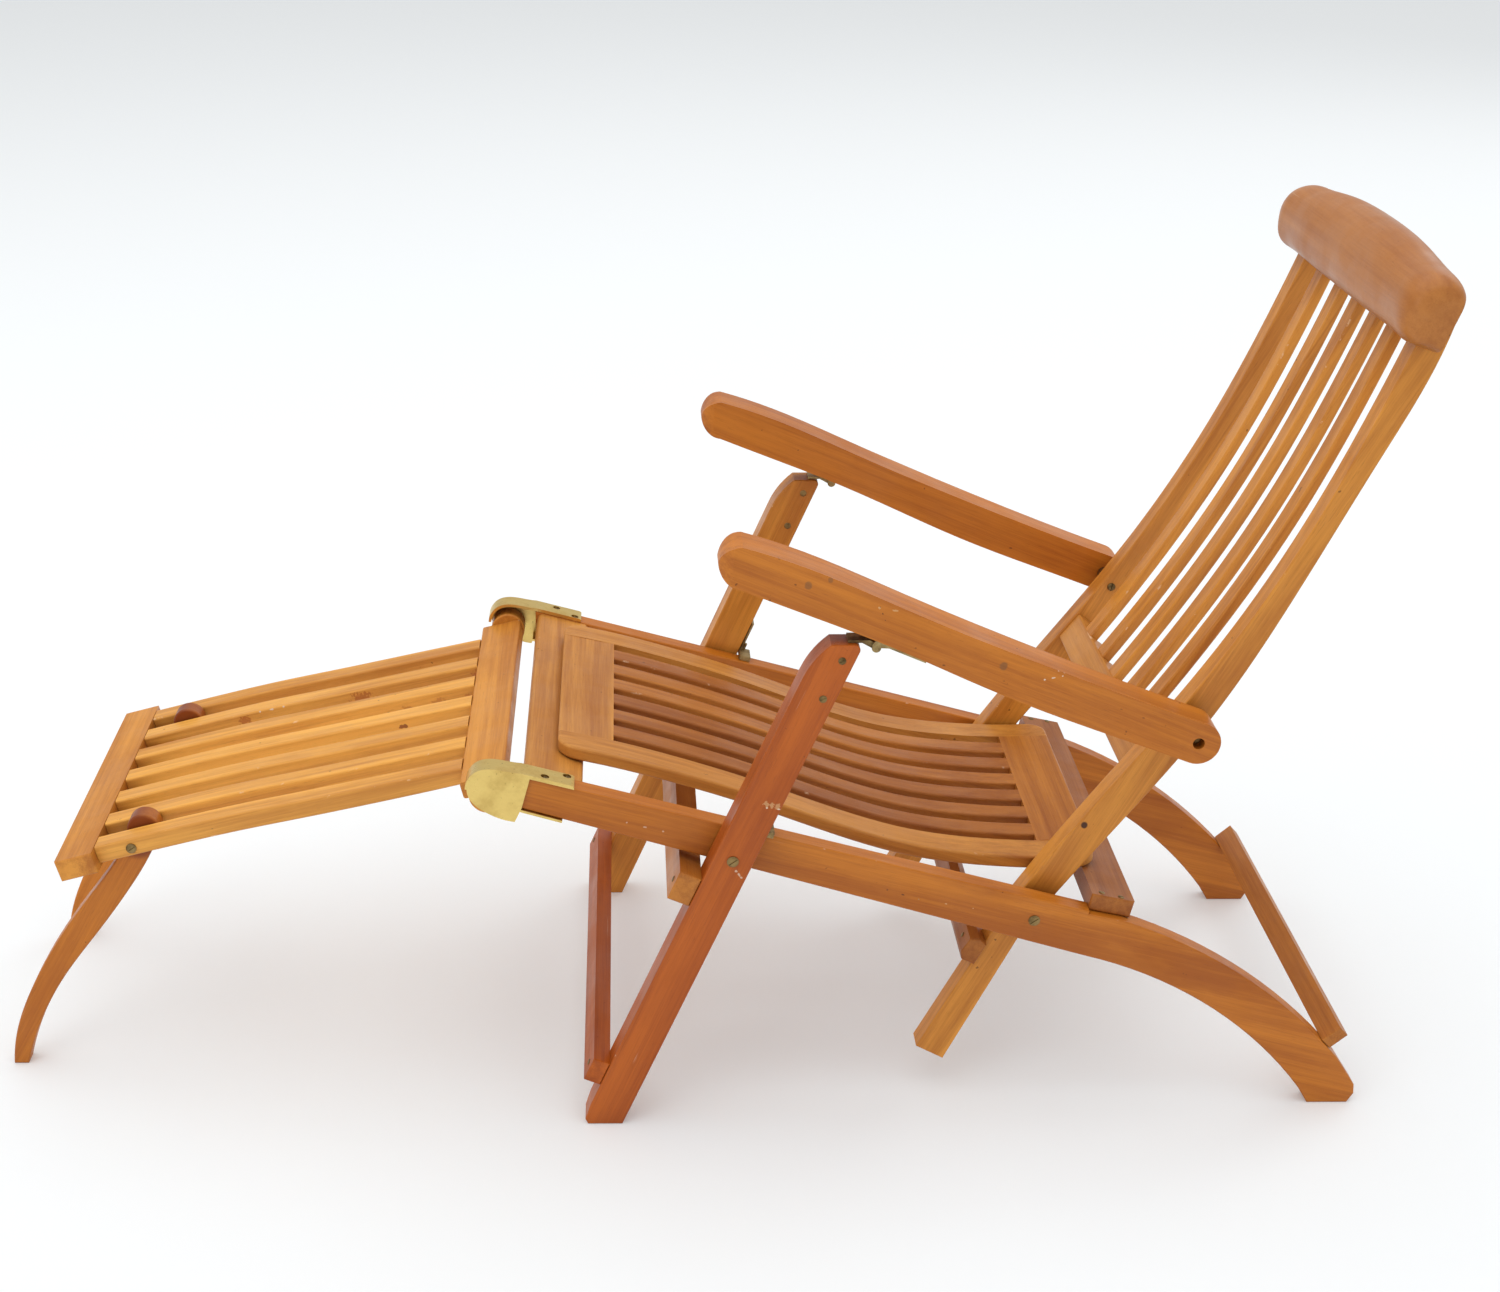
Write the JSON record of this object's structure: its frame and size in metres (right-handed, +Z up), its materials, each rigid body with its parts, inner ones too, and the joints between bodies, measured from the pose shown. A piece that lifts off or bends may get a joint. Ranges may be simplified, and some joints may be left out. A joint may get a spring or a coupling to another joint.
{
  "type": "folding deck chair",
  "caption": "Folding slatted wooden deck chair with curved reclining back, dished seat, flat arms and a hinged leg rest on its own folding legs.",
  "frame": {"origin": "on the floor, below the middle of the opened chair's length and width", "axes": "+Z up, +X from the leg rest's foot end towards the back, -Y the sitter's left"},
  "size_m": [1.6012, 0.586, 0.9941],
  "materials": {
    "honey_wood": "varnished, worn satin, straight grain",
    "tan_wood": "varnished, worn and lightly scuffed",
    "red_brown_wood": "varnished, satin, redder than the slats",
    "dark_wood": "darkened old varnish",
    "purple_brown_wood": "dark polished varnish",
    "brass_plate": "satin, lightly tarnished",
    "aged_brass": "dull, darkened in the slots"
  },
  "bodies": {
    "frame": {"side_rail_left": "red_brown_wood", "side_rail_right": "red_brown_wood", "front_cross_board": "tan_wood", "rear_cross_board": "dark_wood", "rear_foot_stretcher": "dark_wood", "seat_side_rail_left": "tan_wood", "seat_side_rail_right": "tan_wood", "seat_front_rail": "tan_wood", "seat_rear_rail": "tan_wood", "seat_slat_1": "honey_wood", "seat_slat_2": "honey_wood", "seat_slat_3": "honey_wood", "seat_slat_4": "honey_wood", "seat_slat_5": "honey_wood", "seat_slat_6": "honey_wood", "corner_bracket_left": "brass_plate", "corner_bracket_right": "brass_plate", "frame_screws": "aged_brass", "frame_washers": "aged_brass"},
    "back": {"back_stile_left": "red_brown_wood", "back_stile_right": "red_brown_wood", "back_slat_1": "dark_wood", "back_slat_2": "dark_wood", "back_slat_3": "dark_wood", "back_slat_4": "dark_wood", "back_slat_5": "dark_wood", "back_lower_rail": "dark_wood", "headrest": "tan_wood", "back_stretcher": "dark_wood", "back_bolts": "aged_brass", "arm_spacers": "aged_brass", "back_screws": "aged_brass"},
    "front_legs": {"front_leg_left": "red_brown_wood", "front_leg_right": "red_brown_wood", "upper_front_stretcher": "red_brown_wood", "lower_front_stretcher": "red_brown_wood", "leg_catches": "brass_plate", "leg_hinges": "brass_plate", "leg_pivot_bolts": "aged_brass", "leg_screws": "aged_brass"},
    "arm_left": {"armrest_left": "red_brown_wood", "arm_leaf_left": "brass_plate"},
    "arm_right": {"armrest_right": "red_brown_wood", "arm_leaf_right": "brass_plate"},
    "footrest": {"footrest_slat_1": "honey_wood", "footrest_slat_2": "honey_wood", "footrest_slat_3": "honey_wood", "footrest_slat_4": "honey_wood", "footrest_slat_5": "honey_wood", "footrest_slat_6": "honey_wood", "footrest_slat_7": "honey_wood", "knee_board": "tan_wood", "knee_knuckles": "tan_wood", "foot_end_board": "tan_wood", "foot_batten": "tan_wood", "footrest_bolts": "aged_brass"},
    "footrest_leg_left": {"footrest_leg_left": "purple_brown_wood"},
    "footrest_leg_right": {"footrest_leg_right": "purple_brown_wood"}
  },
  "joints": [
    {"name": "back_fold", "type": "hinge", "parent": "frame", "child": "back", "pos_m": [0.4, 0, 0.246], "axis": [0, -1, 0], "range_deg": [0, 84]},
    {"name": "front_legs_fold", "type": "hinge", "parent": "frame", "child": "front_legs", "pos_m": [0.056, 0, 0.342], "axis": [0, -1, 0], "range_deg": [0, 81.9]},
    {"name": "arm_left_fold", "type": "hinge", "parent": "back", "child": "arm_left", "pos_m": [0.558, 0, 0.478], "axis": [0, -1, 0], "range_deg": [-80.9, 0]},
    {"name": "arm_right_fold", "type": "hinge", "parent": "back", "child": "arm_right", "pos_m": [0.558, 0, 0.478], "axis": [0, -1, 0], "range_deg": [-80.9, 0]},
    {"name": "footrest_hinge", "type": "hinge", "parent": "frame", "child": "footrest", "pos_m": [-0.213, 0, 0.405], "axis": [0, -1, 0], "range_deg": [-75, 38]},
    {"name": "footrest_leg_left_fold", "type": "hinge", "parent": "footrest", "child": "footrest_leg_left", "pos_m": [-0.626, 0, 0.309], "axis": [0, -1, 0], "range_deg": [0, 120]},
    {"name": "footrest_leg_right_fold", "type": "hinge", "parent": "footrest", "child": "footrest_leg_right", "pos_m": [-0.626, 0, 0.309], "axis": [0, -1, 0], "range_deg": [0, 120]}
  ],
  "couplings": [
    {"joint": "front_legs_fold", "follows": "back_fold", "ratio": 0.974},
    {"joint": "arm_left_fold", "follows": "back_fold", "ratio": -0.963},
    {"joint": "arm_right_fold", "follows": "back_fold", "ratio": -0.963}
  ]
}
